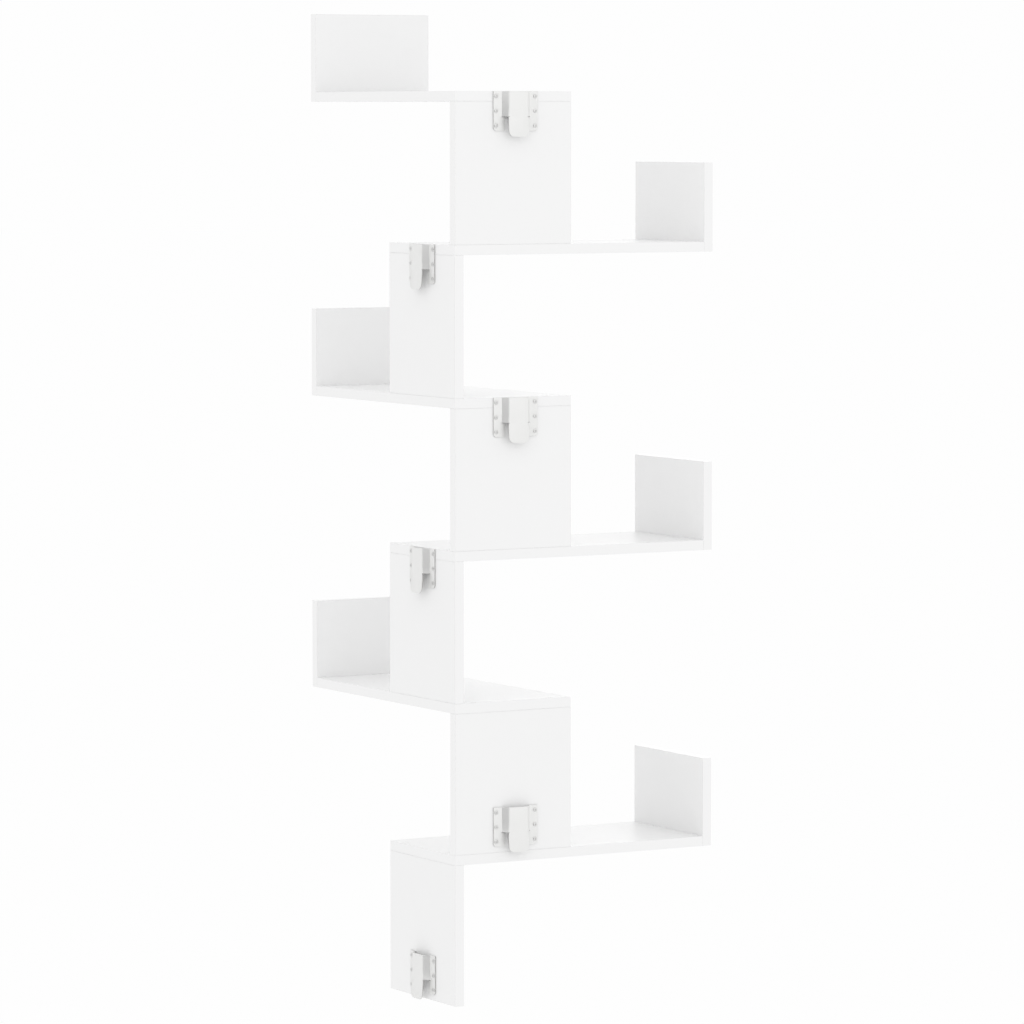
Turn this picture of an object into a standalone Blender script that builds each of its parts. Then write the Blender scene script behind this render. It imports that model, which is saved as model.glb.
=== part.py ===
"""Corner shelving unit that climbs in a zigzag up the corner of two walls.

Six shelves lie at right angles to each other in turn. Each has its short side across the
corner and an upright at its far end. A wall panel stands below each shelf, on one wall and
then on the other, and carries a pressed steel hanger on its back.

The boards lie with their backs in two planes that meet in the Z axis, and Z = 0 is the foot
of the lowest panel. On side A the backs are in the plane Y = 0 and the boards run along -X.
On side B they are in the plane X = 0 and run along -Y. The room lies towards -X and -Y, and
the hangers stand out behind the backs, towards the walls. All sizes are in metres.
"""

import math

import bmesh
import bpy
from mathutils import Matrix, Vector

# Driving dimensions of the boards
SHELF_COUNT = 6
SHELF_REACH = 0.450  # corner line to the outer face of the end upright
BOARD_DEPTH = 0.200  # back to front
BOARD_THICKNESS = 0.015
PANEL_HEIGHT = 0.212  # from the top of one shelf to the underside of the next
UPRIGHT_RISE = 0.120  # end upright above the top of its shelf
EDGE_CHAMFER = 0.0006

# Driving dimensions of the connecting screws in the board joints
SCREW_LENGTH = 0.050
SCREW_SHANK_RADIUS = 0.0025
SCREW_HEAD_RADIUS = 0.0040
SCREW_HEAD_RIM = 0.0008  # straight rim above the countersink
SCREW_HEAD_CONE = 0.0022  # height of the countersink
SCREW_TIP = 0.0030
SCREW_EDGE_INSET = 0.035  # from the long edges of the board to the screw
SOCKET_RADIUS = 0.0023  # corner radius of the hex socket
SOCKET_DEPTH = 0.0020

# Driving dimensions of the wall hangers, which are pressed from sheet
SHEET_THICKNESS = 0.0015
HANGER_CENTRE = 0.103  # left edge of a panel, seen from the wall, to the middle of its hanger
HANGER_WIDTH = 0.076
HANGER_LENGTH = 0.068  # top edge to the tip of the tongue
HOOD_FRONT_WIDTH = 0.031
HOOD_BASE_WIDTH = 0.046
HOOD_RISE = 0.0090  # clear depth behind the hood
HOOD_WALL_LENGTH = 0.0375
TONGUE_WIDTH = 0.0345
TONGUE_NECK = 0.003  # length over which the tongue grows to its full width
TONGUE_KICK = 0.0020  # how far the tip stands out past the hood
TONGUE_CORNER = 0.009
HANGER_SLIT = 0.001  # cut between the tongue and the flanges
FLANGE_CORNER = 0.005
HANGER_HOLES_APART = 0.067
HANGER_HOLE_PITCH = 0.022
HANGER_HOLE_ROWS = 3
HANGER_HOLE_MARGIN = 0.0075  # from the last hole to the foot of the flange
HANGER_HOLE_RADIUS = 0.0025
PILOT_RADIUS = 0.0014
PILOT_DEPTH = 0.012
LOW_HANGERS = 2  # the lowest panels carry their hanger at the foot

# Clearances
SEAT_GAP = 0.0003  # between two pieces that touch
HOLE_CLEARANCE = 0.0003  # round a screw in its hole
CUTTER_OVERRUN = 0.001  # how far a cutter stands out of the face it cuts

# Facets
ROUND_SIDES = 12
HEX_SIDES = 6
CORNER_STEPS = 4
SMOOTH_ANGLE = math.radians(40)

# Worked out from the driving dimensions
SHELF_PITCH = PANEL_HEIGHT + BOARD_THICKNESS
FIRST_HOLE_DROP = BOARD_THICKNESS / 2
FLANGE_HEIGHT = FIRST_HOLE_DROP + (HANGER_HOLE_ROWS - 1) * HANGER_HOLE_PITCH + HANGER_HOLE_MARGIN

DOWN = Vector((0, 0, -1))
UP = Vector((0, 0, 1))


class Wall:
    """One of the two wall sides, with its directions along the wall and out into the room."""

    def __init__(self, along, room):
        self.along = Vector(along)
        self.room = Vector(room)

    def point(self, along, out, up):
        return self.along * along + self.room * out + UP * up


WALL_A = Wall(along=(-1, 0, 0), room=(0, -1, 0))
WALL_B = Wall(along=(0, -1, 0), room=(-1, 0, 0))


def shelf_wall(number):
    """Odd shelves run along side B, even ones along side A."""
    return WALL_B if number % 2 else WALL_A


def panel_wall(number):
    """A panel stands on the other wall from the shelf above it."""
    return WALL_A if number % 2 else WALL_B


def shelf_top(number):
    return (SHELF_COUNT + 1 - number) * SHELF_PITCH


def clear_scene():
    for old in list(bpy.data.objects):
        bpy.data.objects.remove(old, do_unlink=True)


def new_collection(name):
    collection = bpy.data.collections.new(name)
    bpy.context.scene.collection.children.link(collection)
    return collection


def new_material(name, colour, roughness, metallic):
    material = bpy.data.materials.new(name)
    material.use_nodes = True
    shader = material.node_tree.nodes["Principled BSDF"]
    shader.inputs["Base Color"].default_value = (*colour, 1.0)
    shader.inputs["Roughness"].default_value = roughness
    shader.inputs["Metallic"].default_value = metallic
    return material


def new_object(name, mesh, collection, material=None):
    piece = bpy.data.objects.new(name, mesh)
    collection.objects.link(piece)
    if material and not mesh.materials:
        mesh.materials.append(material)
    return piece


def mesh_from(bm, name):
    mesh = bpy.data.meshes.new(name)
    bm.to_mesh(mesh)
    bm.free()
    return mesh


def turned_mesh(name, profile):
    """A closed turned shape. The profile holds (radius, height) from the top to the foot."""
    bm = bmesh.new()
    verts = [bm.verts.new((radius, 0, height)) for radius, height in profile]
    for upper, lower in zip(verts, verts[1:]):
        bm.edges.new((upper, lower))
    blank = new_object(name + "_profile", mesh_from(bm, name), bpy.context.scene.collection)
    screw = blank.modifiers.new("Turn", "SCREW")
    screw.steps = ROUND_SIDES
    screw.render_steps = ROUND_SIDES
    screw.use_merge_vertices = True
    screw.merge_threshold = 0.00001
    return evaluated_mesh(blank, name)


def evaluated_mesh(blank, name):
    """The mesh that an object's modifiers make, kept without the object."""
    graph = bpy.context.evaluated_depsgraph_get()
    mesh = bpy.data.meshes.new_from_object(blank.evaluated_get(graph))
    mesh.name = name
    bpy.data.objects.remove(blank, do_unlink=True)
    return mesh


def shade_round(mesh):
    mesh.shade_smooth()
    mesh.set_sharp_from_angle(angle=SMOOTH_ANGLE)


def cut(piece, cutter):
    boolean = piece.modifiers.new("Cut " + cutter.name, "BOOLEAN")
    boolean.operation = "DIFFERENCE"
    boolean.solver = "EXACT"
    boolean.object = cutter


def aim(piece, point, direction):
    """Put a turned piece with its top at a point, pointing in a direction."""
    piece.location = point
    piece.rotation_euler = DOWN.rotation_difference(direction).to_euler()


def arc(centre_u, centre_v, radius, start, end):
    """Points on a round corner, in the plane of the sheet."""
    points = []
    for step in range(CORNER_STEPS + 1):
        angle = start + (end - start) * step / CORNER_STEPS
        points.append((centre_u + radius * math.cos(angle), centre_v + radius * math.sin(angle)))
    return points


# Boards

def board(name, wall, along, out, up, kit):
    """A flat board between two distances along the wall, out from it and up."""
    low = wall.point(along[0], out[0], up[0])
    high = wall.point(along[1], out[1], up[1])
    size = high - low
    bm = bmesh.new()
    bmesh.ops.create_cube(bm, size=1, matrix=Matrix.Diagonal((abs(size.x), abs(size.y), size.z, 1)))
    piece = new_object(name, mesh_from(bm, name), kit.parts, kit.board_material)
    piece.location = (low + high) / 2
    bevel = piece.modifiers.new("Eased edges", "BEVEL")
    bevel.width = EDGE_CHAMFER
    bevel.segments = 1
    bevel.limit_method = "ANGLE"
    return piece


def make_shelf(number, kit):
    top = shelf_top(number)
    along = (0, SHELF_REACH - BOARD_THICKNESS - SEAT_GAP)
    return board(f"shelf_{number}", shelf_wall(number), along, (0, BOARD_DEPTH), (top - BOARD_THICKNESS, top), kit)


def make_upright(number, kit):
    top = shelf_top(number)
    along = (SHELF_REACH - BOARD_THICKNESS, SHELF_REACH)
    up = (top - BOARD_THICKNESS, top + UPRIGHT_RISE)
    return board(f"end_upright_{number}", shelf_wall(number), along, (0, BOARD_DEPTH), up, kit)


def make_panel(number, kit):
    head = shelf_top(number) - BOARD_THICKNESS
    foot = head - PANEL_HEIGHT
    if number < SHELF_COUNT:
        foot += SEAT_GAP
    return board(
        f"wall_panel_{number}", panel_wall(number), (0, BOARD_DEPTH), (0, BOARD_THICKNESS), (foot, head - SEAT_GAP), kit
    )


# Connecting screws

def screw_profile(grow, top):
    """Outline of the screw, or of its hole when grow is the clearance round it."""
    head = SCREW_HEAD_RADIUS + grow
    shank = SCREW_SHANK_RADIUS + grow
    cone_foot = -SCREW_HEAD_RIM - SCREW_HEAD_CONE - grow
    return [
        (0, top),
        (head, top),
        (head, -SCREW_HEAD_RIM - grow),
        (shank, cone_foot),
        (shank, -SCREW_LENGTH + SCREW_TIP - grow),
        (0, -SCREW_LENGTH - grow),
    ]


def make_screw_mesh(kit):
    """The screw points down from its head at the origin, with a hex socket in the head."""
    bm = bmesh.new()
    bmesh.ops.create_cone(
        bm,
        cap_ends=True,
        segments=HEX_SIDES,
        radius1=SOCKET_RADIUS,
        radius2=SOCKET_RADIUS,
        depth=SOCKET_DEPTH + CUTTER_OVERRUN,
        matrix=Matrix.Translation((0, 0, (CUTTER_OVERRUN - SOCKET_DEPTH) / 2)),
    )
    socket = new_object("hex_socket", mesh_from(bm, "hex_socket"), kit.cutters)
    blank_mesh = turned_mesh("screw_blank", screw_profile(0, 0))
    blank = new_object("screw_blank", blank_mesh, bpy.context.scene.collection)
    cut(blank, socket)
    mesh = evaluated_mesh(blank, "connecting_screw")
    bpy.data.objects.remove(socket, do_unlink=True)
    shade_round(mesh)
    mesh.materials.append(kit.screw_material)
    return mesh


def drive_screw(name, point, direction, boards, kit):
    """Set a screw just below the face at a point, and cut its hole in both boards."""
    seat = point + direction * SEAT_GAP
    screw = new_object(name, kit.screw_mesh, kit.parts)
    aim(screw, seat, direction)
    hole = new_object(name + "_hole", kit.screw_hole_mesh, kit.cutters)
    aim(hole, seat, direction)
    for piece in boards:
        cut(piece, hole)


def screw_places():
    """The two screws of a joint, the inner one near the wall and the outer one near the room."""
    return {"inner": SCREW_EDGE_INSET, "outer": BOARD_DEPTH - SCREW_EDGE_INSET}


def fasten_upright(number, shelf, upright, kit):
    """Screws through the outer face of the upright into the end of the shelf."""
    wall = shelf_wall(number)
    mid_shelf = shelf_top(number) - BOARD_THICKNESS / 2
    for place, out in screw_places().items():
        point = wall.point(SHELF_REACH, out, mid_shelf)
        drive_screw(f"upright_screw_{number}_{place}", point, -wall.along, (upright, shelf), kit)


def fasten_panel_head(number, shelf, panel, kit):
    """Screws down through the shelf above into the head of the panel."""
    wall = panel_wall(number)
    for place, along in screw_places().items():
        point = wall.point(along, BOARD_THICKNESS / 2, shelf_top(number))
        drive_screw(f"panel_screw_{number}_head_{place}", point, DOWN, (shelf, panel), kit)


def fasten_panel_foot(number, shelf, panel, kit):
    """Screws up through the shelf below into the foot of the panel."""
    wall = panel_wall(number)
    underside = shelf_top(number + 1) - BOARD_THICKNESS
    for place, along in screw_places().items():
        point = wall.point(along, BOARD_THICKNESS / 2, underside)
        drive_screw(f"panel_screw_{number}_foot_{place}", point, UP, (shelf, panel), kit)


# Wall hangers

def make_hanger_mesh():
    """Right half of the pressed sheet, seen from the wall: X across, Y off the board, Z up.

    The sheet is drawn on its back face and the Solidify modifier gives it its thickness.
    """
    front = HOOD_FRONT_WIDTH / 2
    base = HOOD_BASE_WIDTH / 2
    edge = HANGER_WIDTH / 2
    tongue = TONGUE_WIDTH / 2
    slit = tongue + HANGER_SLIT
    wall_foot = -HOOD_WALL_LENGTH
    leg_head = wall_foot - HANGER_SLIT
    neck_foot = wall_foot - TONGUE_NECK
    leg_foot = -FLANGE_HEIGHT
    tip = -HANGER_LENGTH

    def tongue_point(u, v):
        kick = TONGUE_KICK * (neck_foot - v) / (neck_foot - tip)
        return (u, HOOD_RISE + kick, v)

    hood = [(0, HOOD_RISE, 0), (front, HOOD_RISE, 0), (front, HOOD_RISE, wall_foot), (0, HOOD_RISE, wall_foot)]
    side = [(front, HOOD_RISE, 0), (base, 0, 0), (base, 0, wall_foot), (front, HOOD_RISE, wall_foot)]
    flange = [(base, 0, 0), (edge, 0, 0), (edge, 0, wall_foot), (base, 0, wall_foot)]
    bridge = [(base, 0, wall_foot), (edge, 0, wall_foot), (edge, 0, leg_head), (base, 0, leg_head)]
    leg = [(base, 0, leg_head), (edge, 0, leg_head)]
    corner = arc(edge - FLANGE_CORNER, leg_foot + FLANGE_CORNER, FLANGE_CORNER, 0, -math.pi / 2)
    leg += [(u, 0, v) for u, v in corner]
    leg += [(slit, 0, leg_foot), (slit, 0, leg_head)]
    neck = [(0, HOOD_RISE, wall_foot), (front, HOOD_RISE, wall_foot), (tongue, HOOD_RISE, neck_foot)]
    neck.append((0, HOOD_RISE, neck_foot))
    corner = arc(tongue - TONGUE_CORNER, tip + TONGUE_CORNER, TONGUE_CORNER, 0, -math.pi / 2)
    blade = [(0, HOOD_RISE, neck_foot), (tongue, HOOD_RISE, neck_foot)]
    blade += [tongue_point(u, v) for u, v in corner]
    blade.append(tongue_point(0, tip))

    bm = bmesh.new()
    for outline in (hood, side, flange, bridge, leg, neck, blade):
        bm.faces.new([bm.verts.new(point) for point in outline])
    bmesh.ops.remove_doubles(bm, verts=bm.verts, dist=0.00001)
    bmesh.ops.recalc_face_normals(bm, faces=bm.faces)
    if next(iter(bm.faces)).normal.y < 0:
        bmesh.ops.reverse_faces(bm, faces=bm.faces)
    return mesh_from(bm, "wall_hanger")


def hanger_distance(wall):
    """Corner line to the middle of a hanger. The panels are all alike, and on side B the
    corner line is at the right-hand edge of a panel, seen from the wall.
    """
    return HANGER_CENTRE if wall is WALL_A else BOARD_DEPTH - HANGER_CENTRE


def make_hanger(number, boards, kit):
    """A hanger on the back of a panel, with its screw holes through to the boards behind."""
    wall = panel_wall(number)
    centre = hanger_distance(wall)
    low = number > SHELF_COUNT - LOW_HANGERS
    panel_foot = shelf_top(number) - SHELF_PITCH
    top = panel_foot + HANGER_LENGTH if low else shelf_top(number)

    hanger = new_object(f"wall_hanger_{number}", kit.hanger_mesh, kit.parts, kit.hanger_material)
    hanger.location = wall.point(centre, -SEAT_GAP, top)
    hanger.rotation_euler.z = math.atan2(wall.room.x, -wall.room.y)
    mirror = hanger.modifiers.new("Other half", "MIRROR")
    mirror.merge_threshold = 0.00001
    sheet = hanger.modifiers.new("Sheet", "SOLIDIFY")
    sheet.thickness = SHEET_THICKNESS
    sheet.offset = 1
    sheet.use_even_offset = True

    for side in (-1, 1):
        for row in range(HANGER_HOLE_ROWS):
            drop = FIRST_HOLE_DROP + row * HANGER_HOLE_PITCH
            point = wall.point(centre + side * HANGER_HOLES_APART / 2, 0, top - drop)
            hole = new_object(f"{hanger.name}_hole_{side}_{row}", kit.pilot_mesh, kit.cutters)
            aim(hole, point, wall.room)
            cut(hanger, hole)
            in_shelf = point.z > shelf_top(number) - BOARD_THICKNESS
            cut(boards["shelf"] if in_shelf else boards["panel"], hole)


def pilot_profile():
    """Hole for a hanger screw: wide through the sheet and narrow in the board."""
    sheet_top = SEAT_GAP + SHEET_THICKNESS + CUTTER_OVERRUN
    between = SEAT_GAP / 2
    return [
        (0, sheet_top),
        (HANGER_HOLE_RADIUS, sheet_top),
        (HANGER_HOLE_RADIUS, between),
        (PILOT_RADIUS, between),
        (PILOT_RADIUS, -PILOT_DEPTH),
        (0, -PILOT_DEPTH),
    ]


class Kit:
    """Collections, materials and shared meshes that the pieces are made from."""

    def __init__(self):
        self.parts = new_collection("corner_shelving_unit")
        self.cutters = new_collection("cutters")
        self.board_material = new_material("white_melamine_board", (0.86, 0.86, 0.85), 0.38, 0.0)
        self.hanger_material = new_material("zinc_plated_sheet", (0.78, 0.79, 0.80), 0.34, 1.0)
        self.screw_material = new_material("zinc_plated_screw", (0.70, 0.71, 0.72), 0.30, 1.0)
        self.screw_mesh = make_screw_mesh(self)
        self.screw_hole_mesh = turned_mesh("screw_hole", screw_profile(HOLE_CLEARANCE, CUTTER_OVERRUN))
        self.pilot_mesh = turned_mesh("pilot_hole", pilot_profile())
        self.hanger_mesh = make_hanger_mesh()


def gather_under_empty(kit):
    """Hang every piece under one empty at the wall corner, and hide the cutters."""
    corner = bpy.data.objects.new("wall_corner_frame", None)
    kit.parts.objects.link(corner)
    for piece in kit.parts.objects:
        if piece is not corner:
            piece.parent = corner
    for cutter in kit.cutters.objects:
        cutter.hide_render = True
        cutter.display_type = "WIRE"


def main():
    clear_scene()
    kit = Kit()
    numbers = range(1, SHELF_COUNT + 1)
    shelves = {number: make_shelf(number, kit) for number in numbers}
    uprights = {number: make_upright(number, kit) for number in numbers}
    panels = {number: make_panel(number, kit) for number in numbers}
    for number in numbers:
        fasten_upright(number, shelves[number], uprights[number], kit)
        fasten_panel_head(number, shelves[number], panels[number], kit)
        if number < SHELF_COUNT:
            fasten_panel_foot(number, shelves[number + 1], panels[number], kit)
        make_hanger(number, {"shelf": shelves[number], "panel": panels[number]}, kit)
    gather_under_empty(kit)


main()
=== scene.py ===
"""Looks of the corner shelving unit, built round its packed solids.

The file is laid out as a Blender add-on and is run as a script. Sizes and colours sit in
property groups, each group of like pieces has an operator, and main() calls them in order.
Side A is the plane Y = 0 with its boards along -X, and side B is X = 0 with its boards
along -Y. All sizes are in metres.
"""

import math
from typing import NamedTuple

import bmesh
import bpy
from bpy.props import FloatProperty, FloatVectorProperty, IntProperty, PointerProperty
from mathutils import Euler, Matrix, Vector


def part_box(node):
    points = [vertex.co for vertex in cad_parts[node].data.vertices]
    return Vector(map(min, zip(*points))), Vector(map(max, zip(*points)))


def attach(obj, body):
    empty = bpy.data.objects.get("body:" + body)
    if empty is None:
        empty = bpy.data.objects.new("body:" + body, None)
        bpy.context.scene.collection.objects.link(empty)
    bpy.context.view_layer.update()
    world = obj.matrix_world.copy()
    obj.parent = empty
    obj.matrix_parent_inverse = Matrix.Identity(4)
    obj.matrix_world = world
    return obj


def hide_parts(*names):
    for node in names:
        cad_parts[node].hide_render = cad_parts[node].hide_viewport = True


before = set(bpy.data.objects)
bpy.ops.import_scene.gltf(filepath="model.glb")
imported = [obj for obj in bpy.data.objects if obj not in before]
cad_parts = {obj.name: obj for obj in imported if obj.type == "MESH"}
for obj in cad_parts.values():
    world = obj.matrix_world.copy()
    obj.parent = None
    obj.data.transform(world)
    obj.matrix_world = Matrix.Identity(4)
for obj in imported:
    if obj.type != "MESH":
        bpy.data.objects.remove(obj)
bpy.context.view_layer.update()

bl_info = {
    "name": "Corner Shelving Unit",
    "version": (1, 0, 0),
    "blender": (4, 5, 0),
    "location": "View3D > Sidebar > Shelving",
    "description": "Banded boards, pressed hangers and screws of a wall-hung corner shelving unit",
    "category": "Object",
}

BODY = "root"
SHELVES = 6
HANGER_ROWS = 3

# Directions, and the point in the unit that the lights shine at
UP = Vector((0, 0, 1))
DOWN = Vector((0, 0, -1))
SIDE_A_BACK = Vector((0, 1, 0))
SIDE_B_BACK = Vector((1, 0, 0))
UNIT_MIDDLE = Vector((-0.15, -0.15, 0.7))

# Tolerances, and room for cutters and caps
MERGE = 1e-6  # corners and levels closer than this count as one
OVERCUT = 0.001  # how far a cutter stands out of the surface that it cuts
CAP_GAP = 0.00001  # keeps the underside of a cap off the head that it covers
SQUARE_ON = 0.999  # a face whose normal follows an axis this closely is flat, not part of a rounding

# Angles in degrees
FOLD_ANGLE = 20  # the sheet of a hanger turns more than this at a fold
HANGER_CREASE = 50
PAN_SCREW_CREASE = 35
JOINT_SCREW_CREASE = 30

# Facets round the small drilled and punched holes
PILOT_SIDES = 12
HOLE_SIDES = 24

# Shape of a pan head, as shares of its height, and of its cross recess
CROWN_SHARE = 0.55
RIM_SHARE = 0.4
CROWN_ANGLES = (0, 18, 36, 54, 72, 84)  # degrees from the top of the crown
CROSS_TAPER = 0.55  # size of the recess's floor against its mouth

# Slots of the materials on a mesh
FACING_SLOT = 0
BANDING_SLOT = 1
SHEARED_SLOT = 1
CAP_SLOT = 1

# Colour sockets of the Mix node, whose names repeat
MIX_FACTOR = 0
MIX_DARK = 6
MIX_LIGHT = 7
MIX_RESULT = 2

# Shades against a material's own colour
CLOUDING = 0.008
FLAKE_LIGHT = 1.15
FLAKE_DARK = 0.55


class Softbox(NamedTuple):
    """A square soft light, with its bearing and height in degrees and its power in watts."""

    name: str
    bearing: float
    height: float
    power: float
    mirrored: bool  # whether gleaming surfaces mirror it


SOFTBOXES = (
    Softbox("front_softbox", bearing=45, height=42, power=11.0, mirrored=True),
    Softbox("wall_side_a_softbox", bearing=105, height=20, power=9.0, mirrored=True),
    Softbox("room_side_softbox", bearing=225, height=12, power=10.0, mirrored=True),
    Softbox("room_side_a_softbox", bearing=180, height=35, power=14.0, mirrored=False),
    Softbox("room_side_b_softbox", bearing=270, height=35, power=16.0, mirrored=False),
)


def linear(hex_colour):
    """Linear RGBA of an sRGB hex colour."""
    channels = [int(hex_colour[i : i + 2], 16) / 255 for i in (1, 3, 5)]
    return tuple(c / 12.92 if c <= 0.04045 else ((c + 0.055) / 1.055) ** 2.4 for c in channels) + (1.0,)


def length(name, description, default):
    return FloatProperty(
        name=name, description=description, default=default, min=0.0, precision=5, unit="LENGTH"
    )


def colour(name, description, default):
    return FloatVectorProperty(
        name=name, description=description, default=linear(default), size=4, subtype="COLOR"
    )


# Settings

class BoardSettings(bpy.types.PropertyGroup):
    """Edges and facing of the boards."""

    edge_radius: length("Edge radius", "Rounding of the banded edges", 0.0005)
    banding: length("Banding", "Thickness of the edge banding", 0.0011)
    seam_width: length("Seam width", "Glue line between the banding and the facing", 0.0003)
    seam_depth: length("Seam depth", "Depth of the glue line", 0.00012)
    facing: colour("Facing", "White of the melamine facing", "#EEEEEE")
    banding_tint: colour("Banding tint", "White of the edge banding", "#EEEEEE")
    core: colour("Core", "Chipboard inside the drilled holes", "#B89A70")


class HangerSettings(bpy.types.PropertyGroup):
    """Pressed hangers on the backs of the panels."""

    sheet: length("Sheet", "Thickness of the sheet", 0.0015)
    hood_front: length("Hood front", "Half width of the hood's flat front at its top", 0.0155)
    hood_base: length("Hood base", "Half width of the hood where it meets the flanges", 0.0230)
    hood_rise: length("Hood rise", "Clear depth behind the hood", 0.0090)
    flare_start: length("Flare start", "Drop from the top to where the hood widens", 0.026)
    hood_foot: length("Hood foot", "Drop from the top to the foot of the hood's walls", 0.0375)
    bend: length("Bend", "Length of sheet that each bend takes on either side", 0.0012)
    tongue: length("Tongue", "Half width of the tongue", 0.0172)
    neck: length("Neck", "Drop over which the tongue grows to its width", 0.0025)
    neck_growth: length("Neck growth", "How much each side of the tongue grows over the neck", 0.0005)
    tongue_corner: length("Tongue corner", "Radius of the tongue's corners", 0.009)
    slit: length("Slit", "Cut between the foot of the hood's walls and the legs", 0.001)
    leg_inside: length("Leg inside", "Half distance between the two legs", 0.0184)
    leg_foot: length("Leg foot", "Drop from the top to the foot of the legs", 0.0590)
    leg_corner: length("Leg corner", "Radius of the outer corners of the legs", 0.005)
    hole_radius: length("Hole radius", "Radius of the screw holes", 0.0025)
    hole_reach: length("Hole reach", "Distance of the screw holes from the centre line", 0.0335)
    first_hole: length("First hole", "Drop from the top to the first holes", 0.0075)
    hole_pitch: length("Hole pitch", "Distance between the holes down the flange", 0.022)
    rim: length("Rim", "Burr-free rounding of the sheared edges", 0.00018)
    zinc: colour("Zinc", "Colour of the zinc plating", "#EAEAE9")
    # Sheared-edge colour: darker than the zinc partly because sheared steel is duller, partly as painted
    # shade for the dark line along the sheet's edges
    sheared_edge_and_shade: colour("Sheared edge", "Colour of the sheared edges", "#CDCDCB")


class ScrewSettings(bpy.types.PropertyGroup):
    """Connecting screws in the joints and wood screws in the hangers."""

    sides: IntProperty(name="Sides", description="Facets round a screw", default=32, min=8)
    head_radius: length("Pan head radius", "Radius of a hanger screw's pan head", 0.0031)
    head_height: length("Pan head height", "Height of a hanger screw's pan head", 0.0012)
    wood_shank: length("Wood screw shank", "Radius of a hanger screw's shank", 0.0012)
    wood_length: length("Wood screw length", "Length of a hanger screw below its head", 0.0115)
    wood_tip: length("Wood screw tip", "Length of a hanger screw's point", 0.003)
    pilot_room: length("Pilot room", "Room round a hanger screw in its hole in the board", 0.0001)
    pilot_past: length("Pilot past", "Depth of that hole past the screw's point", 0.0005)
    cross_width: length("Cross width", "Width of the cross recess's arms", 0.0009)
    cross_reach: length("Cross reach", "Half length of the cross recess's arms", 0.0019)
    cross_depth: length("Cross depth", "Depth of the cross recess", 0.0008)
    joint_head: length("Joint head", "Radius of a connecting screw's countersunk head", 0.0040)
    joint_rim: length("Joint rim", "Straight rim above the countersink", 0.0008)
    joint_cone: length("Joint cone", "Height of the countersink", 0.0022)
    joint_shank: length("Joint shank", "Radius of a connecting screw's shank", 0.0025)
    joint_tip: length("Joint tip", "Length of a connecting screw's point", 0.0030)
    joint_chamfer: length("Joint chamfer", "Rounding of the connecting screw's head", 0.0003)
    socket_radius: length("Socket radius", "Corner radius of the hex socket", 0.0023)
    socket_depth: length("Socket depth", "Depth of the hex socket", 0.0022)
    clearance: length("Clearance", "Room round a connecting screw in its hole", 0.0003)
    cap_radius: length("Cap radius", "Radius of the cover cap on a connecting screw", 0.0042)
    cap_height: length("Cap height", "Thickness of the cover cap, flush with the board", 0.0003)
    cap_edge: length("Cap edge", "Chamfer round the cover cap", 0.0001)
    cap_stem: length("Cap stem", "Radius of the cap's stem in the hex socket", 0.0019)
    cap_reach: length("Cap reach", "How far the cap's stem goes down the socket", 0.00176)
    plating: colour("Plating", "Colour of the plated screws", "#DADAD9")
    cap_tint: colour("Cap tint", "White of the cover caps", "#EEEEEE")


class StageSettings(bpy.types.PropertyGroup):
    """Camera, floor and light."""

    camera_place: FloatVectorProperty(
        name="Camera place",
        description="Where the camera stands",
        default=(3.8794, 6.8377, 1.3212),
        subtype="XYZ",
    )
    camera_yaw: FloatProperty(
        name="Camera yaw",
        description="Turn of the view from side A towards side B",
        default=math.radians(30.184),
        subtype="ANGLE",
    )
    camera_pitch: FloatProperty(
        name="Camera pitch",
        description="How far the camera looks down",
        default=math.radians(4.227),
        subtype="ANGLE",
    )
    lens: FloatProperty(name="Lens", description="Focal length of the camera in millimetres", default=187.13)
    sight: length("Sight", "How far the camera sees", 1000.0)
    floor_drop: length("Floor drop", "Floor below the foot of the unit", 3.5)
    floor_size: length("Floor size", "Side of the floor", 400.0)
    surround: FloatProperty(
        name="Surround", description="Strength of the white surround", default=0.99, min=0.0
    )
    surround_tint: colour("Surround tint", "Colour of the surround", "#FFFFFF")
    floor_tint: colour("Floor tint", "Colour of the floor", "#FFFFFF")
    softbox_size: length("Softbox size", "Side of each soft light", 3.0)
    softbox_distance: length("Softbox distance", "From the middle of the unit to each soft light", 5.0)
    flag_place: FloatVectorProperty(
        name="Flag place",
        description="Where the dark card stands",
        default=(3.9, 2.25, 0.9),
        subtype="XYZ",
    )
    flag_size: length("Flag size", "Side of the dark card", 5.0)
    flag_tint: colour("Flag tint", "Colour of the dark card", "#4A4A4A")


# Small helpers for meshes and pieces

def new_piece(name, bm):
    """An object from a bmesh, linked into the scene."""
    mesh = bpy.data.meshes.new(name)
    bm.to_mesh(mesh)
    bm.free()
    piece = bpy.data.objects.new(name, mesh)
    bpy.context.scene.collection.objects.link(piece)
    return piece


def settle(piece):
    """Bake the modifiers of a piece into its mesh."""
    bpy.context.view_layer.update()
    graph = bpy.context.evaluated_depsgraph_get()
    finished = bpy.data.meshes.new_from_object(piece.evaluated_get(graph))
    finished.name = piece.name
    piece.modifiers.clear()
    piece.data = finished


def drop(piece):
    bpy.data.objects.remove(piece, do_unlink=True)


def subtract(piece, cutter):
    """Cut one piece out of another by a live modifier."""
    boolean = piece.modifiers.new("Cut " + cutter.name, "BOOLEAN")
    boolean.operation = "DIFFERENCE"
    boolean.solver = "EXACT"
    boolean.object = cutter
    boolean.material_mode = "TRANSFER"
    return boolean


def round_off(bm, geom, radius, segments, affect="EDGES"):
    """Round edges or corners of a bmesh."""
    bmesh.ops.bevel(
        bm,
        geom=geom,
        offset=radius,
        offset_type="OFFSET",
        segments=segments,
        profile=0.5,
        affect=affect,
        material=-1,
    )


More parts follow.
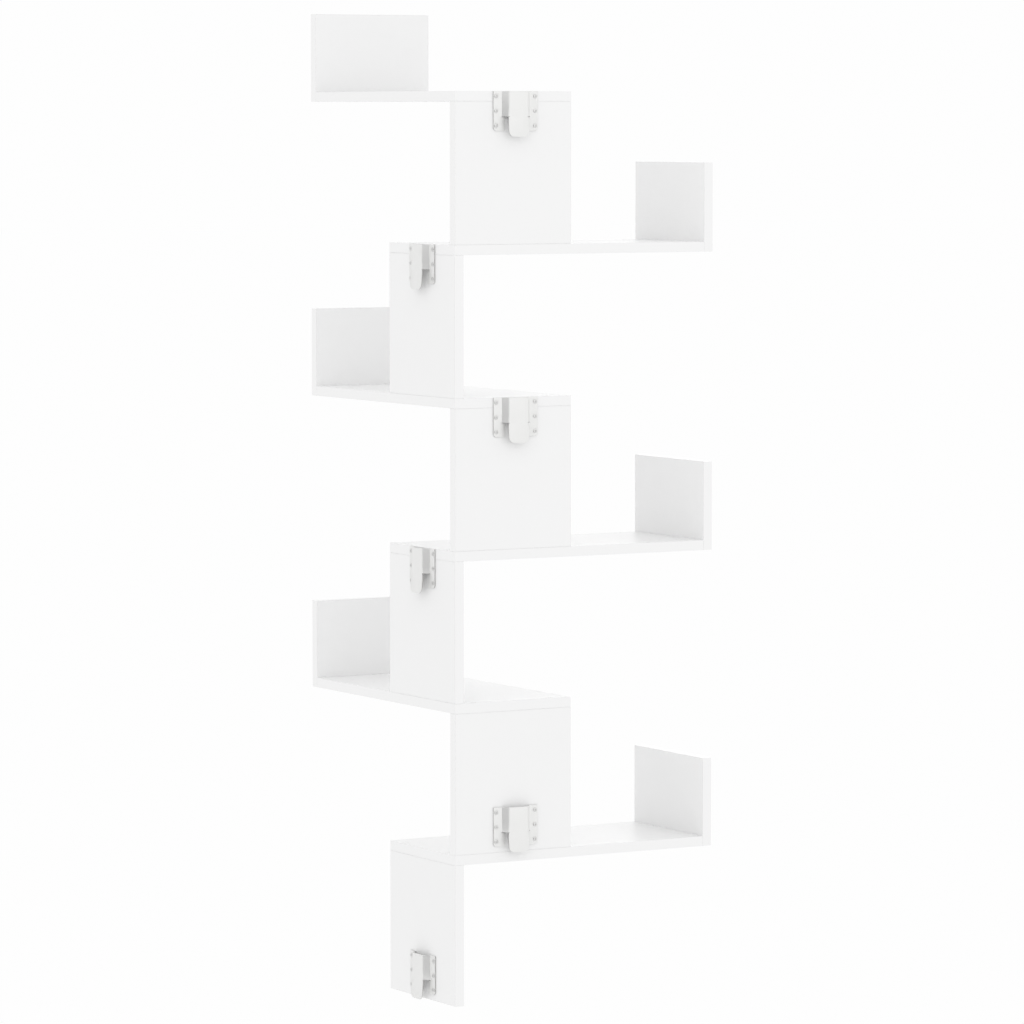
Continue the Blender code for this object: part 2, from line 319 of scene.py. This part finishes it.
def turned(bm, profile, sides):
    """Spin a profile of (radius, height) pairs about Z into a closed shape."""
    verts = [bm.verts.new((radius, 0, height)) for radius, height in profile]
    edges = [bm.edges.new(pair) for pair in zip(verts, verts[1:])]
    bmesh.ops.spin(
        bm, geom=verts + edges, cent=(0, 0, 0), axis=(0, 0, 1), angle=math.tau, steps=sides, use_merge=True
    )
    bmesh.ops.remove_doubles(bm, verts=bm.verts[:], dist=MERGE)
    bmesh.ops.recalc_face_normals(bm, faces=bm.faces[:])


def join(bm, part):
    """Add one bmesh to another."""
    mesh = bpy.data.meshes.new("part")
    part.to_mesh(mesh)
    part.free()
    bm.from_mesh(mesh)
    bpy.data.meshes.remove(mesh)


def add_turned(bm, profile, sides, place):
    """Turn a profile, put it in its place and add it to a bmesh."""
    part = bmesh.new()
    turned(part, profile, sides)
    bmesh.ops.transform(part, matrix=place, verts=part.verts)
    join(bm, part)


def copy_to(name, master, places):
    """One piece with a copy of the master mesh at each of the placing matrices."""
    bm = bmesh.new()
    for place in places:
        before = set(bm.verts)
        bm.from_mesh(master)
        fresh = [v for v in bm.verts if v not in before]
        bmesh.ops.transform(bm, matrix=place, verts=fresh)
    piece = new_piece(name, bm)
    for material in master.materials:
        piece.data.materials.append(material)
    return piece


def placing(point, direction):
    """Matrix that takes a shape made pointing down at the origin to a point and direction."""
    return Matrix.Translation(point) @ DOWN.rotation_difference(direction).to_matrix().to_4x4()


def longest_side(node):
    """Longest side of a solid's box."""
    low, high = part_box(node)
    return max(high[axis] - low[axis] for axis in range(3))


def own(piece, slot, *nodes):
    """Ride on the unit's only body and stand for the given solids. The slot argument is not used."""
    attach(piece, BODY)
    if nodes:
        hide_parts(*nodes)


def shade_by_angle(piece, degrees):
    """Smooth shading, with a crease wherever the faces turn more than an angle."""
    piece.data.shade_smooth()
    piece.data.set_sharp_from_angle(angle=math.radians(degrees))


# Materials

def new_material(name, base, roughness, metallic=0.0):
    material = bpy.data.materials.new(name)
    material.use_nodes = True
    shader = material.node_tree.nodes["Principled BSDF"]
    shader.inputs["Base Color"].default_value = base
    shader.inputs["Roughness"].default_value = roughness
    shader.inputs["Metallic"].default_value = metallic
    return material, shader


def add_node(material, kind, settings=(), links=()):
    """Add a node, set its sockets or properties, and link its inputs."""
    node = material.node_tree.nodes.new(kind)
    for name, value in dict(settings).items():
        if name in node.inputs:
            node.inputs[name].default_value = value
        else:
            setattr(node, name, value)
    for name, source in dict(links).items():
        material.node_tree.links.new(source, node.inputs[name])
    return node


def per_metre(millimetres):
    """Texture scale that gives a pattern of the given size."""
    return 1000.0 / millimetres


def place_node(material):
    return add_node(material, "ShaderNodeTexCoord").outputs["Object"]


def tone(hue, factor):
    """A colour made lighter or darker."""
    return tuple(channel * factor for channel in hue[:3]) + (1.0,)


def melamine(settings):
    """White melamine facing: printed paper in resin, pressed on a satin plate, with a fine pearl grain."""
    material, shader = new_material("white_melamine_facing", settings.facing, roughness=0.36)
    shader.inputs["IOR"].default_value = 1.5
    place = place_node(material)
    patch = add_node(
        material, "ShaderNodeTexNoise", {"Scale": per_metre(70), "Detail": 3.0}, {"Vector": place}
    )
    shade = add_node(material, "ShaderNodeMix", {"data_type": "RGBA"})
    shade.inputs[MIX_DARK].default_value = tone(settings.facing, 1 - CLOUDING)
    shade.inputs[MIX_LIGHT].default_value = tone(settings.facing, 1 + CLOUDING)
    material.node_tree.links.new(patch.outputs["Fac"], shade.inputs[MIX_FACTOR])
    material.node_tree.links.new(shade.outputs[MIX_RESULT], shader.inputs["Base Color"])
    pearl = add_node(
        material, "ShaderNodeTexNoise", {"Scale": per_metre(1.4), "Detail": 2.0}, {"Vector": place}
    )
    sheen = add_node(
        material, "ShaderNodeMapRange", {"To Min": 0.32, "To Max": 0.42}, {"Value": pearl.outputs["Fac"]}
    )
    material.node_tree.links.new(sheen.outputs["Result"], shader.inputs["Roughness"])
    relief = add_node(
        material, "ShaderNodeBump", {"Strength": 0.25, "Distance": 0.00003}, {"Height": pearl.outputs["Fac"]}
    )
    material.node_tree.links.new(relief.outputs["Normal"], shader.inputs["Normal"])
    return material


def edging(settings):
    """White ABS edge banding: an extruded strip, scraped flush, a touch glossier than the facing."""
    material, shader = new_material("white_abs_edge_banding", settings.banding_tint, roughness=0.3)
    shader.inputs["IOR"].default_value = 1.52
    place = place_node(material)
    scrape = add_node(
        material, "ShaderNodeTexNoise", {"Scale": per_metre(0.9), "Detail": 2.0}, {"Vector": place}
    )
    sheen = add_node(
        material, "ShaderNodeMapRange", {"To Min": 0.26, "To Max": 0.36}, {"Value": scrape.outputs["Fac"]}
    )
    material.node_tree.links.new(sheen.outputs["Result"], shader.inputs["Roughness"])
    relief = add_node(
        material, "ShaderNodeBump", {"Strength": 0.2, "Distance": 0.00002}, {"Height": scrape.outputs["Fac"]}
    )
    material.node_tree.links.new(relief.outputs["Normal"], shader.inputs["Normal"])
    return material


def chipboard(settings):
    """Raw chipboard: pressed wood flakes 1 to 4 mm long, seen only inside the drilled holes."""
    material, shader = new_material("raw_chipboard_core", settings.core, roughness=0.85)
    place = place_node(material)
    flakes = add_node(material, "ShaderNodeTexVoronoi", {"Scale": per_metre(2.2)}, {"Vector": place})
    ramp = add_node(material, "ShaderNodeValToRGB", links={"Fac": flakes.outputs["Distance"]})
    ramp.color_ramp.elements[0].color = tone(settings.core, FLAKE_LIGHT)
    ramp.color_ramp.elements[1].color = tone(settings.core, FLAKE_DARK)
    material.node_tree.links.new(ramp.outputs["Color"], shader.inputs["Base Color"])
    relief = add_node(
        material,
        "ShaderNodeBump",
        {"Strength": 0.6, "Distance": 0.0003},
        {"Height": flakes.outputs["Distance"]},
    )
    material.node_tree.links.new(relief.outputs["Normal"], shader.inputs["Normal"])
    return material


def zinc_sheet(settings):
    """Pale matt zinc plating on cold-rolled sheet, with faint clouding and rolling marks.

    Its fine crystals scatter about as much light as they mirror, so it is only partly metallic.
    """
    material, shader = new_material("zinc_plated_steel_sheet", settings.zinc, roughness=0.5, metallic=0.55)
    place = place_node(material)
    cloud = add_node(
        material, "ShaderNodeTexNoise", {"Scale": per_metre(9), "Detail": 4.0}, {"Vector": place}
    )
    sheen = add_node(
        material, "ShaderNodeMapRange", {"To Min": 0.46, "To Max": 0.56}, {"Value": cloud.outputs["Fac"]}
    )
    material.node_tree.links.new(sheen.outputs["Result"], shader.inputs["Roughness"])
    stretch = add_node(
        material,
        "ShaderNodeMapping",
        {"Scale": (per_metre(1.2), per_metre(1.2), per_metre(14))},
        {"Vector": place},
    )
    rolled = add_node(
        material, "ShaderNodeTexNoise", {"Scale": 1.0, "Detail": 2.0}, {"Vector": stretch.outputs["Vector"]}
    )
    relief = add_node(
        material, "ShaderNodeBump", {"Strength": 0.15, "Distance": 0.00002}, {"Height": rolled.outputs["Fac"]}
    )
    material.node_tree.links.new(relief.outputs["Normal"], shader.inputs["Normal"])
    return material


def sheared_steel_and_shade(settings):
    """Sheared edge of the sheet: torn steel under thin zinc, coarser than the faces. Its colour is darker
    than the faces partly because torn steel is duller and partly as painted shade for the dark contact line
    along the sheet's edges.
    """
    material, shader = new_material("sheared_steel_edge_and_shade", settings.sheared_edge_and_shade, roughness=0.5, metallic=0.7)
    place = place_node(material)
    tear = add_node(
        material, "ShaderNodeTexNoise", {"Scale": per_metre(0.5), "Detail": 3.0}, {"Vector": place}
    )
    relief = add_node(
        material, "ShaderNodeBump", {"Strength": 0.4, "Distance": 0.00005}, {"Height": tear.outputs["Fac"]}
    )
    material.node_tree.links.new(relief.outputs["Normal"], shader.inputs["Normal"])
    return material


def plated_screw(settings):
    """Zinc-plated screw: cold-headed steel with a bright, slightly uneven plating."""
    material, shader = new_material("zinc_plated_screw_steel", settings.plating, roughness=0.3, metallic=1.0)
    place = place_node(material)
    cloud = add_node(
        material, "ShaderNodeTexNoise", {"Scale": per_metre(2.5), "Detail": 3.0}, {"Vector": place}
    )
    sheen = add_node(
        material, "ShaderNodeMapRange", {"To Min": 0.22, "To Max": 0.4}, {"Value": cloud.outputs["Fac"]}
    )
    material.node_tree.links.new(sheen.outputs["Result"], shader.inputs["Roughness"])
    return material


def cover_cap_plastic(settings):
    """White moulded cover cap: polyethylene with a fine spark-eroded grain, pressed into the hex socket."""
    material, shader = new_material("white_cover_cap_plastic", settings.cap_tint, roughness=0.45)
    shader.inputs["IOR"].default_value = 1.51
    place = place_node(material)
    grain = add_node(
        material, "ShaderNodeTexNoise", {"Scale": per_metre(0.4), "Detail": 2.0}, {"Vector": place}
    )
    relief = add_node(
        material, "ShaderNodeBump", {"Strength": 0.3, "Distance": 0.00002}, {"Height": grain.outputs["Fac"]}
    )
    material.node_tree.links.new(relief.outputs["Normal"], shader.inputs["Normal"])
    return material


def matt_floor(settings):
    """Matt white painted floor with a faint cloudiness."""
    material, shader = new_material("matt_white_floor", settings.floor_tint, roughness=0.9)
    place = place_node(material)
    cloud = add_node(
        material, "ShaderNodeTexNoise", {"Scale": per_metre(1250), "Detail": 2.0}, {"Vector": place}
    )
    matt = add_node(
        material, "ShaderNodeMapRange", {"To Min": 0.86, "To Max": 0.94}, {"Value": cloud.outputs["Fac"]}
    )
    material.node_tree.links.new(matt.outputs["Result"], shader.inputs["Roughness"])
    shader.inputs["Specular IOR Level"].default_value = 0.0
    return material


def matt_card(settings):
    """Matt grey card, without any gloss."""
    material, shader = new_material("matt_grey_card", settings.flag_tint, roughness=0.9)
    shader.inputs["Specular IOR Level"].default_value = 0.0
    return material


# Places of the screws and hangers, and the holes in the boards

def joint_screws():
    """Place of the head and the direction of each connecting screw, by node name."""
    screws = {}
    for node in sorted(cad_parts):
        if "screw" not in node:
            continue
        low, high = (Vector(corner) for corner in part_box(node))
        centre = (low + high) / 2
        size = high - low
        if node.startswith("upright_screw"):
            axis = 0 if size.x > size.y else 1
            head = centre.copy()
            head[axis] = low[axis]
            direction = Vector((0, 0, 0))
            direction[axis] = 1
        elif "_head_" in node:
            head = Vector((centre.x, centre.y, high.z))
            direction = DOWN
        else:
            head = Vector((centre.x, centre.y, low.z))
            direction = UP
        screws[node] = (head, direction)
    return screws


def joint_profile(screw, grow, lift, reach):
    """Outline of a connecting screw, or of its hole where grow is the room round it."""
    head = screw.joint_head + grow
    shank = screw.joint_shank + grow
    return [
        (0, lift),
        (head, lift),
        (head, -screw.joint_rim - grow),
        (shank, -screw.joint_rim - screw.joint_cone - grow),
        (shank, -reach + screw.joint_tip - grow),
        (0, -reach - grow),
    ]


def hanger_frames():
    """Centre of each hanger's top edge on the board, and the direction out of the back."""
    frames = {}
    for number in range(1, SHELVES + 1):
        low, high = (Vector(corner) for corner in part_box(f"wall_hanger_{number}"))
        if number % 2:
            frames[number] = (Vector(((low.x + high.x) / 2, low.y, high.z)), SIDE_A_BACK)
        else:
            frames[number] = (Vector((low.x, (low.y + high.y) / 2, high.z)), SIDE_B_BACK)
    return frames


def hanger_matrix(top, back):
    """Matrix from the hanger's own frame, X across, Y out of the back and Z up."""
    turn = Matrix((back.cross(UP), back, UP)).transposed().to_4x4()
    return Matrix.Translation(top) @ turn


def hanger_hole_points(hanger):
    """Screw places in the hanger's own frame."""
    return [
        Vector((side * hanger.hole_reach, 0, -hanger.first_hole - row * hanger.hole_pitch))
        for side in (-1, 1)
        for row in range(HANGER_ROWS)
    ]


def drilled_holes(context):
    """One cutter with the holes of all the screws in the boards."""
    screw = context.scene.shelving_screws
    hanger = context.scene.shelving_hangers
    bm = bmesh.new()
    for node, (head, direction) in joint_screws().items():
        hole = joint_profile(screw, screw.clearance, OVERCUT, longest_side(node))
        add_turned(bm, hole, screw.sides, placing(head, direction))
    radius = screw.wood_shank + screw.pilot_room
    depth = screw.wood_length + screw.pilot_past
    pilot = [(0, OVERCUT), (radius, OVERCUT), (radius, -depth), (0, -depth)]
    for top, back in hanger_frames().values():
        for point in hanger_hole_points(hanger):
            add_turned(bm, pilot, PILOT_SIDES, placing(hanger_matrix(top, back) @ point, -back))
    return new_piece("drilled_holes", bm)


# Boards

def drawn_tight(node):
    """Box of a board, with the seat gaps at its joints closed up to the next boards."""
    low, high = (Vector(corner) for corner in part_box(node))
    kind, number = node.rsplit("_", 1)
    if kind == "shelf":
        axis = 0 if high.x - low.x > high.y - low.y else 1
        low[axis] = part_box(f"end_upright_{number}")[1][axis]
    if kind == "wall_panel":
        high.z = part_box(f"shelf_{number}")[0][2]
        if int(number) < SHELVES:
            low.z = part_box(f"shelf_{int(number) + 1}")[1][2]
    return low, high


def banded_board(node, board, holes, materials):
    """A board with rounded edges, a glue line round both faces and its drilled holes."""
    low, high = drawn_tight(node)
    bm = bmesh.new()
    bmesh.ops.create_cube(bm, size=1)
    bmesh.ops.scale(bm, vec=high - low, verts=bm.verts)
    bmesh.ops.translate(bm, vec=(low + high) / 2, verts=bm.verts)
    round_off(bm, bm.edges[:], board.edge_radius, segments=3)
    for face in bm.faces:
        face.material_index = BANDING_SLOT
    insets = (
        (board.banding - board.edge_radius, 0.0),
        (board.seam_width / 2, -board.seam_depth),
        (board.seam_width / 2, board.seam_depth),
    )
    broad_faces = sorted(bm.faces, key=lambda face: face.calc_area())[-2:]
    for face in broad_faces:
        for thickness, depth in insets:
            bmesh.ops.inset_region(bm, faces=[face], thickness=thickness, depth=depth)
        face.material_index = FACING_SLOT
    for face in bm.faces:
        face.smooth = max(abs(value) for value in face.normal) < SQUARE_ON
    piece = new_piece(node + "_board", bm)
    for material in materials:
        piece.data.materials.append(material)
    subtract(piece, holes)
    settle(piece)
    own(piece, "board", node)
    return piece


class SHELVING_OT_saw_boards(bpy.types.Operator):
    """Band, drill and finish the shelves, end uprights and wall panels"""

    bl_idname = "shelving.saw_boards"
    bl_label = "Saw Boards"

    def execute(self, context):
        board = context.scene.shelving_boards
        core = chipboard(board)
        materials = [melamine(board), edging(board), core]
        holes = drilled_holes(context)
        holes.data.materials.append(core)
        for kind in ("shelf", "end_upright", "wall_panel"):
            for number in range(1, SHELVES + 1):
                banded_board(f"{kind}_{number}", board, holes, materials)
        drop(holes)
        return {"FINISHED"}


# Hangers

def pull(bm, edges, move):
    """Extrude edges and move the new ones. Gives the new corners and all the new edges."""
    made = bmesh.ops.extrude_edge_only(bm, edges=edges)["geom"]
    fresh = [item for item in made if isinstance(item, bmesh.types.BMVert)]
    bmesh.ops.translate(bm, vec=move, verts=fresh)
    return fresh, [item for item in made if isinstance(item, bmesh.types.BMEdge)]


def at_level(edges, level):
    """Those of the edges that lie at one height."""
    return [e for e in edges if all(abs(v.co.z - level) < MERGE for v in e.verts)]


def press_hood(bm, hanger, flange_edge):
    """Half of the hood and its flange, from the top edge down to the hood's foot, with rounded folds."""
    rise = hanger.hood_rise
    outline = [(0, rise), (hanger.hood_front, rise), (hanger.hood_base, 0), (flange_edge, 0)]
    verts = [bm.verts.new((u, w, 0)) for u, w in outline]
    row = [bm.edges.new(pair) for pair in zip(verts, verts[1:])]
    _, edges = pull(bm, row, (0, 0, -hanger.flare_start))
    flare = at_level(edges, -hanger.flare_start)
    fresh, _ = pull(bm, flare, (0, 0, hanger.flare_start - hanger.hood_foot))
    for vert in fresh:
        if vert.co.y > rise / 2 and vert.co.x > MERGE:
            vert.co.x = hanger.tongue - hanger.neck_growth
    least = math.radians(FOLD_ANGLE)
    folds = [e for e in bm.edges if len(e.link_faces) == 2 and e.calc_face_angle(0) > least]
    round_off(bm, folds, hanger.bend, segments=4)


def draw_tongue(bm, hanger, front, kick, tip):
    """Half of the tongue, from the foot of the hood's front down to the tip, with a rounded corner."""
    neck_level = -hanger.hood_foot - hanger.neck
    fresh, edges = pull(bm, front, (0, 0, -hanger.neck))
    for vert in fresh:
        if vert.co.x > MERGE:
            vert.co.x = hanger.tongue
    fresh, _ = pull(bm, at_level(edges, neck_level), (0, kick, tip - neck_level))
    corner = [v for v in fresh if v.co.x > MERGE]
    round_off(bm, corner, hanger.tongue_corner, segments=8, affect="VERTICES")


def draw_leg(bm, hanger, flange, flange_edge):
    """One leg, from the foot of the flange past the slit, with a rounded outer corner."""
    leg_head = -hanger.hood_foot - hanger.slit
    _, edges = pull(bm, flange, (0, 0, -hanger.slit))
    fresh, _ = pull(bm, at_level(edges, leg_head), (0, 0, -hanger.leg_foot - leg_head))
    inner = min(v.co.x for v in fresh)
    inside = [
        e
        for e in bm.edges
        if all(abs(v.co.x - inner) < MERGE and v.co.z < leg_head + MERGE for v in e.verts)
    ]
    pull(bm, inside, (hanger.leg_inside - inner, 0, 0))
    corner = [v for v in fresh if abs(v.co.x - flange_edge) < MERGE]
    round_off(bm, corner, hanger.leg_corner, segments=6, affect="VERTICES")


def hanger_sheet(hanger):
    """Board-side face of the pressed sheet as an open surface, in the hanger's own frame."""
    low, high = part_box("wall_hanger_1")
    flange_edge = (high[0] - low[0]) / 2
    kick = (high[1] - low[1]) - hanger.hood_rise - hanger.sheet
    tip = -(high[2] - low[2])
    bm = bmesh.new()
    press_hood(bm, hanger, flange_edge)
    foot = at_level(bm.edges, -hanger.hood_foot)
    front = [e for e in foot if all(v.co.y > hanger.hood_rise - MERGE for v in e.verts)]
    flange = [e for e in foot if all(v.co.y < MERGE for v in e.verts)]
    draw_tongue(bm, hanger, front, kick, tip)
    draw_leg(bm, hanger, flange, flange_edge)
    bmesh.ops.mirror(bm, geom=bm.verts[:] + bm.edges[:] + bm.faces[:], merge_dist=MERGE, axis="X")
    bmesh.ops.remove_doubles(bm, verts=bm.verts[:], dist=MERGE)
    bmesh.ops.recalc_face_normals(bm, faces=bm.faces[:])
    if sum(face.normal.y * face.calc_area() for face in bm.faces) < 0:
        bmesh.ops.reverse_faces(bm, faces=bm.faces[:])
    return bm


def punched_holes(hanger):
    """Cutter with the screw holes of one hanger."""
    bm = bmesh.new()
    for point in hanger_hole_points(hanger):
        part = bmesh.new()
        bmesh.ops.create_cone(
            part,
            cap_ends=True,
            segments=HOLE_SIDES,
            radius1=hanger.hole_radius,
            radius2=hanger.hole_radius,
            depth=4 * hanger.sheet,
            matrix=placing(point, SIDE_A_BACK),
        )
        join(bm, part)
    return new_piece("punch", bm)


def pressed_hanger(hanger):
    """Mesh of one hanger: the sheet given its thickness, punched, and its rims eased."""
    zinc = zinc_sheet(hanger)
    sheared_edge_and_shade = sheared_steel_and_shade(hanger)
    sheet = new_piece("hanger_sheet", hanger_sheet(hanger))
    sheet.data.materials.append(zinc)
    sheet.data.materials.append(sheared_edge_and_shade)
    solid = sheet.modifiers.new("Sheet", "SOLIDIFY")
    solid.thickness = hanger.sheet
    solid.offset = 1
    solid.use_even_offset = True
    # The rims take the sheared-edge material, whose darker colour is partly painted shade along the edges
    solid.material_offset_rim = SHEARED_SLOT
    settle(sheet)
    punch = punched_holes(hanger)
    punch.data.materials.append(sheared_edge_and_shade)
    subtract(sheet, punch)
    ease = sheet.modifiers.new("Eased rims", "BEVEL")
    ease.width = hanger.rim
    ease.segments = 2
    ease.limit_method = "ANGLE"
    ease.angle_limit = math.radians(HANGER_CREASE)
    settle(sheet)
    drop(punch)
    shade_by_angle(sheet, HANGER_CREASE)
    mesh = sheet.data
    drop(sheet)
    return mesh


class SHELVING_OT_press_hangers(bpy.types.Operator):
    """Press the six wall hangers and set them on the backs of the panels"""

    bl_idname = "shelving.press_hangers"
    bl_label = "Press Hangers"

    def execute(self, context):
        master = pressed_hanger(context.scene.shelving_hangers)
        for number, (top, back) in hanger_frames().items():
            piece = copy_to(f"pressed_hanger_{number}", master, [hanger_matrix(top, back)])
            own(piece, "hanger", f"wall_hanger_{number}")
        return {"FINISHED"}


# Screws

def cross_recess(screw):
    """Cutter for a cross recess that narrows towards its floor."""
    tall = screw.head_height
    bm = bmesh.new()
    for turn in (0, 90):
        bmesh.ops.create_cube(
            bm,
            size=1,
            matrix=Matrix.Translation((0, 0, tall - screw.cross_depth / 2 + OVERCUT / 2))
            @ Matrix.Rotation(math.radians(turn), 4, "Z")
            @ Matrix.Diagonal((2 * screw.cross_reach, screw.cross_width, screw.cross_depth + OVERCUT, 1)),
        )
    floor = [v for v in bm.verts if v.co.z < tall - screw.cross_depth / 2]
    bmesh.ops.scale(bm, vec=(CROSS_TAPER, CROSS_TAPER, 1), verts=floor)
    return new_piece("cross_recess", bm)


def pan_screw(screw, material):
    """Mesh of a pan-head wood screw that points down, with a cross recess."""
    head = screw.head_radius
    tall = screw.head_height
    crown = [
        (head * math.sin(angle), tall * (1 - CROWN_SHARE + CROWN_SHARE * math.cos(angle)))
        for angle in (math.radians(degrees) for degrees in CROWN_ANGLES)
    ]
    profile = crown + [
        (head, tall * RIM_SHARE),
        (head, 0),
        (screw.wood_shank, 0),
        (screw.wood_shank, -screw.wood_length + screw.wood_tip),
        (0, -screw.wood_length),
    ]
    bm = bmesh.new()
    turned(bm, profile, screw.sides)
    blank = new_piece("pan_screw", bm)
    blank.data.materials.append(material)
    cross = cross_recess(screw)
    cross.data.materials.append(material)
    subtract(blank, cross).use_self = True
    settle(blank)
    drop(cross)
    shade_by_angle(blank, PAN_SCREW_CREASE)
    mesh = blank.data
    drop(blank)
    return mesh


def cover_cap(screw):
    """Flush cap on a connecting screw's head, with a stem down its socket."""
    bm = bmesh.new()
    profile = [
        (0, screw.cap_height),
        (screw.cap_radius - screw.cap_edge, screw.cap_height),
        (screw.cap_radius, screw.cap_height - screw.cap_edge),
        (screw.cap_radius, CAP_GAP),
        (screw.cap_stem, CAP_GAP),
        (screw.cap_stem, -screw.cap_reach),
        (0, -screw.cap_reach),
    ]
    turned(bm, profile, screw.sides)
    return bm


def hex_key(screw):
    """Cutter for the hex socket of a connecting screw."""
    bm = bmesh.new()
    bmesh.ops.create_cone(
        bm,
        cap_ends=True,
        segments=6,
        radius1=screw.socket_radius,
        radius2=screw.socket_radius,
        depth=2 * screw.socket_depth,
    )
    return new_piece("hex_key", bm)


def joint_screw(screw, reach, material, cap_material):
    """Mesh of a connecting screw that points down, with a hex socket under its cap."""
    bm = bmesh.new()
    turned(bm, joint_profile(screw, 0, 0, reach), screw.sides)
    rims = [
        e
        for e in bm.edges
        if all(abs(v.co.z) < MERGE and v.co.xy.length > screw.joint_head / 2 for v in e.verts)
    ]
    round_off(bm, rims, screw.joint_chamfer, segments=2)
    blank = new_piece("joint_screw", bm)
    blank.data.materials.append(material)
    key = hex_key(screw)
    key.data.materials.append(material)
    subtract(blank, key)
    settle(blank)
    drop(key)
    capped = bmesh.new()
    capped.from_mesh(blank.data)
    screw_faces = len(capped.faces)
    join(capped, cover_cap(screw))
    for face in list(capped.faces)[screw_faces:]:
        face.material_index = CAP_SLOT
    capped.to_mesh(blank.data)
    capped.free()
    blank.data.materials.append(cap_material)
    shade_by_angle(blank, JOINT_SCREW_CREASE)
    mesh = blank.data
    drop(blank)
    return mesh


class SHELVING_OT_drive_screws(bpy.types.Operator):
    """Drive the connecting screws of the joints and the wood screws of the hangers"""

    bl_idname = "shelving.drive_screws"
    bl_label = "Drive Screws"

    def execute(self, context):
        screw = context.scene.shelving_screws
        hanger = context.scene.shelving_hangers
        plated = plated_screw(screw)
        places = joint_screws()
        reach = longest_side(min(places))  # they are all of one length
        master = joint_screw(screw, reach, plated, cover_cap_plastic(screw))
        for node, (head, direction) in places.items():
            piece = copy_to(node + "_plated", master, [placing(head, direction)])
            own(piece, "screw", node)
        master = pan_screw(screw, plated)
        for number, (top, back) in hanger_frames().items():
            matrix = hanger_matrix(top, back)
            seats = [matrix @ (point + Vector((0, hanger.sheet, 0))) for point in hanger_hole_points(hanger)]
            piece = copy_to(f"hanger_screws_{number}", master, [placing(seat, -back) for seat in seats])
            own(piece, "screw")
        return {"FINISHED"}


# Stage

class SHELVING_OT_set_stage(bpy.types.Operator):
    """Set the camera, the pale floor and the soft light"""

    bl_idname = "shelving.set_stage"
    bl_label = "Set Stage"

    def execute(self, context):
        stage = context.scene.shelving_stage
        scene = context.scene
        scene.view_settings.view_transform = "Standard"
        scene.view_settings.look = "None"
        self.set_camera(scene, stage)
        self.lay_floor(stage)
        self.light_surround(scene, stage)
        for softbox in SOFTBOXES:
            self.add_softbox(scene, stage, softbox)
        self.add_flag(stage)
        return {"FINISHED"}

    def set_camera(self, scene, stage):
        """The camera at the photograph's viewing angle."""
        camera = bpy.data.objects.new("camera", bpy.data.cameras.new("camera"))
        scene.collection.objects.link(camera)
        camera.location = stage.camera_place
        camera.rotation_euler = (math.pi / 2 - stage.camera_pitch, 0, math.pi - stage.camera_yaw)
        camera.data.lens = stage.lens
        camera.data.clip_end = stage.sight
        scene.camera = camera

    def lay_floor(self, stage):
        """A floor well below the unit, which hangs on its walls."""
        bm = bmesh.new()
        bmesh.ops.create_grid(bm, x_segments=1, y_segments=1, size=stage.floor_size / 2)
        bmesh.ops.translate(bm, vec=(0, 0, -stage.floor_drop), verts=bm.verts)
        floor = new_piece("floor", bm)
        floor.data.materials.append(matt_floor(stage))

    def light_surround(self, scene, stage):
        """Even white light from all round."""
        world = bpy.data.worlds.new("white_surround")
        world.use_nodes = True
        surround = world.node_tree.nodes["Background"]
        surround.inputs["Color"].default_value = stage.surround_tint
        surround.inputs["Strength"].default_value = stage.surround
        scene.world = world

    def add_softbox(self, scene, stage, softbox):
        """A soft light that shines at the middle of the unit."""
        light = bpy.data.lights.new(softbox.name, "AREA")
        light.size = stage.softbox_size
        light.energy = softbox.power
        lamp = bpy.data.objects.new(softbox.name, light)
        away = Vector((1, 0, 0))
        away.rotate(Euler((0, -math.radians(softbox.height), math.radians(softbox.bearing))))
        lamp.location = UNIT_MIDDLE + away * stage.softbox_distance
        lamp.rotation_euler = (-away).to_track_quat("-Z", "Y").to_euler()
        lamp.visible_glossy = softbox.mirrored
        scene.collection.objects.link(lamp)

    def add_flag(self, stage):
        """A dark card that only gleaming surfaces mirror. It shades the hangers' corner-side walls."""
        bm = bmesh.new()
        bmesh.ops.create_grid(bm, x_segments=1, y_segments=1, size=stage.flag_size / 2)
        flag = new_piece("dark_flag", bm)
        flag.location = stage.flag_place
        aim = Vector((0, 0, flag.location.z)) - flag.location
        flag.rotation_euler = aim.to_track_quat("Z", "Y").to_euler()
        flag.data.materials.append(matt_card(stage))
        flag.visible_camera = False
        flag.visible_diffuse = False
        flag.visible_shadow = False


STEPS = (
    SHELVING_OT_saw_boards,
    SHELVING_OT_press_hangers,
    SHELVING_OT_drive_screws,
    SHELVING_OT_set_stage,
)
SETTINGS = {
    "shelving_boards": BoardSettings,
    "shelving_hangers": HangerSettings,
    "shelving_screws": ScrewSettings,
    "shelving_stage": StageSettings,
}


class SHELVING_PT_sidebar(bpy.types.Panel):
    """Lists the steps and the settings"""

    bl_label = "Corner Shelving Unit"
    bl_space_type = "VIEW_3D"
    bl_region_type = "UI"
    bl_category = "Shelving"

    def draw(self, context):
        for step in STEPS:
            self.layout.operator(step.bl_idname)
        for name, group in SETTINGS.items():
            box = self.layout.box()
            box.label(text=group.__doc__)
            settings = getattr(context.scene, name)
            for prop in group.__annotations__:
                box.prop(settings, prop)


def register():
    for group in SETTINGS.values():
        bpy.utils.register_class(group)
    for name, group in SETTINGS.items():
        setattr(bpy.types.Scene, name, PointerProperty(type=group))
    for step in STEPS:
        bpy.utils.register_class(step)
    bpy.utils.register_class(SHELVING_PT_sidebar)


def unregister():
    bpy.utils.unregister_class(SHELVING_PT_sidebar)
    for step in STEPS:
        bpy.utils.unregister_class(step)
    for name, group in SETTINGS.items():
        delattr(bpy.types.Scene, name)
        bpy.utils.unregister_class(group)


def main():
    register()
    bpy.ops.shelving.saw_boards()
    bpy.ops.shelving.press_hangers()
    bpy.ops.shelving.drive_screws()
    bpy.ops.shelving.set_stage()


if __name__ == "__main__":
    main()
